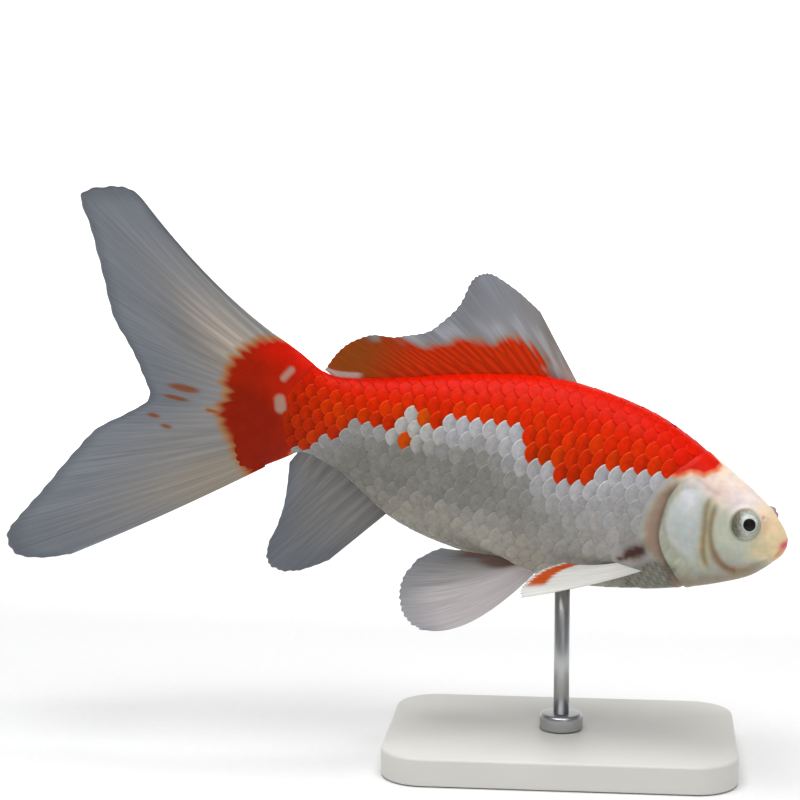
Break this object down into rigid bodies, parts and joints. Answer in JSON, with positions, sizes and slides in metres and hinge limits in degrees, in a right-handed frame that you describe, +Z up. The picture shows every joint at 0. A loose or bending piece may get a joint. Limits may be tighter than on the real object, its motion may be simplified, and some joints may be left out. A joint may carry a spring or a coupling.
{
  "type": "goldfish display model",
  "caption": "Life-size still model of a red-and-white comet goldfish, gliding nose-down with flowing fins, held by a rod over a flat display base.",
  "frame": {"origin": "middle of the stand base's underside, on the surface it stands on, right below the rod", "axes": "+X towards the fish's nose, +Y towards its left side, +Z up"},
  "size_m": [0.2535, 0.076, 0.1838],
  "materials": {
    "face_skin": "smooth, wet, pearly cream-white skin and gill plates",
    "scaled_skin": "wet overlapping scales, bright orange-red over pearly white",
    "eye": "glossy wet eye, dark pupil in a silver-green iris",
    "dorsal_membrane": "thin wet rayed membrane, orange-red below, grey above",
    "fin_membrane": "thin wet rayed membrane, translucent grey-white",
    "stand_paint": "satin off-white paint on steel",
    "stand_steel": "brushed"
  },
  "bodies": {
    "root": {"head": "face_skin", "lower_jaw": "face_skin", "gill_cover_left": "face_skin", "gill_cover_right": "face_skin", "eye_left": "eye", "eye_right": "eye", "trunk_front": "scaled_skin", "trunk_rear": "scaled_skin", "tail_stalk": "scaled_skin", "dorsal_fin": "dorsal_membrane", "anal_fin": "fin_membrane", "tail_fin_upper": "fin_membrane", "tail_fin_lower": "fin_membrane", "pectoral_fin_left": "fin_membrane", "pectoral_fin_right": "fin_membrane", "pelvic_fin_left": "fin_membrane", "pelvic_fin_right": "fin_membrane", "stand_base": "stand_paint", "stand_collar": "stand_steel", "stand_rod": "stand_steel"}
  },
  "joints": []
}
